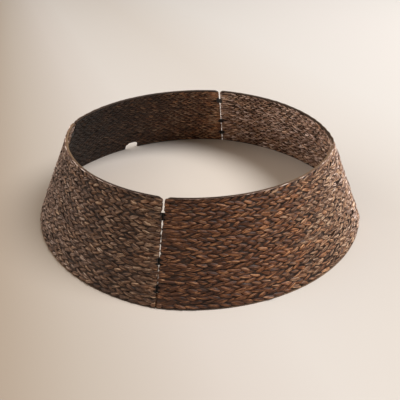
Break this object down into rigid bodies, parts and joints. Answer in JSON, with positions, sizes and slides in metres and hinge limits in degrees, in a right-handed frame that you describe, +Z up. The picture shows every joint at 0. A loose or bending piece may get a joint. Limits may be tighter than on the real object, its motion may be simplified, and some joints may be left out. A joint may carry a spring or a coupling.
{
  "type": "christmas tree collar",
  "caption": "Tapered woven ring that hides a tree stand: curved leaning panels in metal frames, clipped together at upright seams, with a cord arch at the back.",
  "frame": {"origin": "on the floor at the centre of the ring", "axes": "+Z up, the front seam faces -Y, +X to the right seen from the front"},
  "size_m": [0.7734, 0.7576, 0.186],
  "materials": {
    "hyacinth": "twined dried plant strand, brown, uneven",
    "frame_metal": "dark brown painted flat bar and rod",
    "clip_plastic": "black moulded plastic"
  },
  "bodies": {
    "front_left_panel": {"front_left_top_rail": "frame_metal", "front_left_foot_rail": "frame_metal", "front_left_stiles": "frame_metal", "front_left_ribs": "frame_metal", "front_left_weave": "hyacinth", "front_seam_clips": "clip_plastic", "left_seam_clips": "clip_plastic"},
    "front_right_panel": {"front_right_top_rail": "frame_metal", "front_right_foot_rail": "frame_metal", "front_right_stiles": "frame_metal", "front_right_ribs": "frame_metal", "front_right_weave": "hyacinth", "right_seam_clips": "clip_plastic"},
    "rear_right_panel": {"rear_right_top_rail": "frame_metal", "rear_right_foot_rail": "frame_metal", "rear_right_stiles": "frame_metal", "rear_right_ribs": "frame_metal", "rear_right_weave": "hyacinth", "rear_seam_clips": "clip_plastic"},
    "rear_left_panel": {"rear_left_top_rail": "frame_metal", "rear_left_foot_rail": "frame_metal", "rear_left_stiles": "frame_metal", "rear_left_ribs": "frame_metal", "rear_left_weave": "hyacinth", "rear_left_arch_hoop": "frame_metal"}
  },
  "joints": [
    {"name": "front_hinge", "type": "hinge", "parent": "front_left_panel", "child": "front_right_panel", "pos_m": [0.00535, -0.37616, 0], "axis": [0, -0.4197, -0.9077], "range_deg": [0, 120]},
    {"name": "right_hinge", "type": "hinge", "parent": "front_right_panel", "child": "rear_right_panel", "pos_m": [0.38404, 0.00535, 0], "axis": [0.4204, 0, -0.9073], "range_deg": [0, 120]},
    {"name": "left_hinge", "type": "hinge", "parent": "front_left_panel", "child": "rear_left_panel", "pos_m": [-0.38404, 0.00535, 0], "axis": [0.4204, 0, 0.9073], "range_deg": [0, 120]}
  ]
}
